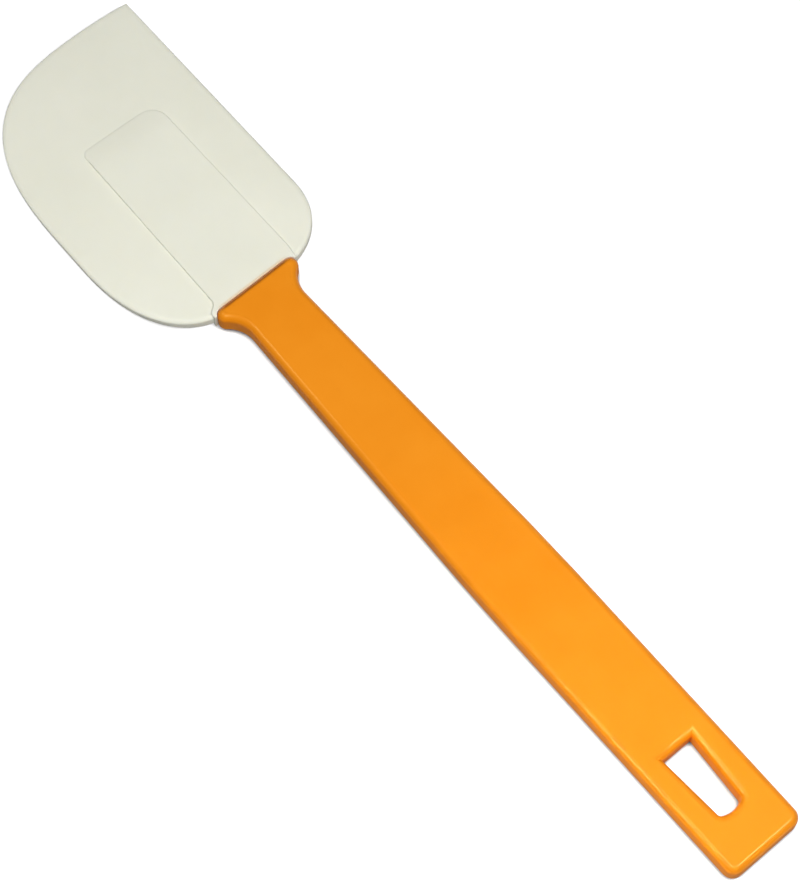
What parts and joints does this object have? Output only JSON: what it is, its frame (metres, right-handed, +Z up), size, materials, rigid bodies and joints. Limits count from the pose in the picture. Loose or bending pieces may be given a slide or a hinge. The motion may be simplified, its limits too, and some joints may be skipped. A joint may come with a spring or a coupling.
{
  "type": "silicone spatula",
  "caption": "Flat kitchen spatula: a cream silicone blade with a straight edge, a sharp corner and a round corner, pushed onto the tang of an orange plastic handle with a hanging hole.",
  "frame": {"origin": "middle of the whole tool's length and width, at the height of the surface it lies on", "axes": "+X along the tool from the blade's tip to the end of the handle, +Y across it to the blade's straight edge, +Z up from the back face it lies on to the front face"},
  "size_m": [0.2694, 0.0554, 0.0072],
  "materials": {
    "handle": "smooth moulded plastic with a soft gloss",
    "blade": "smooth matte silicone, slightly translucent"
  },
  "bodies": {
    "handle": {"handle": "handle"},
    "blade": {"blade": "blade"}
  },
  "joints": [
    {"name": "head_pull_off", "type": "slide", "parent": "handle", "child": "blade", "axis": [-1, 0, 0], "range_m": [0, 0.055]}
  ]
}
